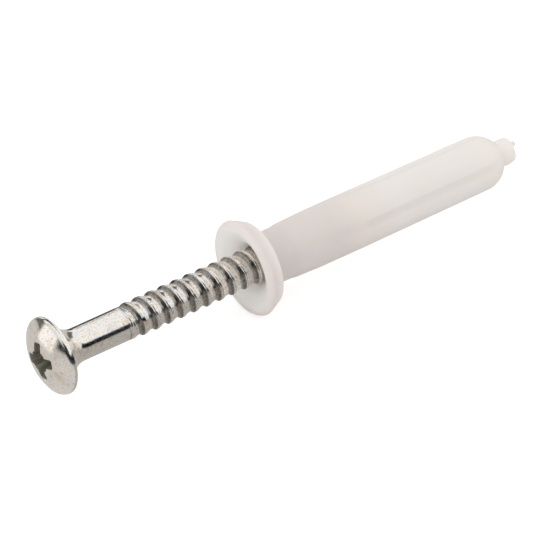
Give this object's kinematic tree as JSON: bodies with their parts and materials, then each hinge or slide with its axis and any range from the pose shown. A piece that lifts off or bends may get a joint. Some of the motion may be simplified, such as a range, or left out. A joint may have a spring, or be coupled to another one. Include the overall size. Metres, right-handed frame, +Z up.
{
  "type": "wall plug",
  "caption": "Hammer-in nylon wall plug with a collar and a slotted expansion zone, with its cross-recess drive screw started in it.",
  "frame": {"origin": "on the plug's axis, in the plane where the back of the collar seats on the wall", "axes": "+X along the plug and the screw, into the wall; +Z up"},
  "size_m": [0.0794, 0.0138, 0.0138],
  "materials": {
    "zinc_steel": "bright zinc plate, mottled",
    "nylon": "natural translucent moulded nylon"
  },
  "bodies": {
    "root": {"drive_screw": "zinc_steel", "wall_plug": "nylon"}
  },
  "joints": []
}
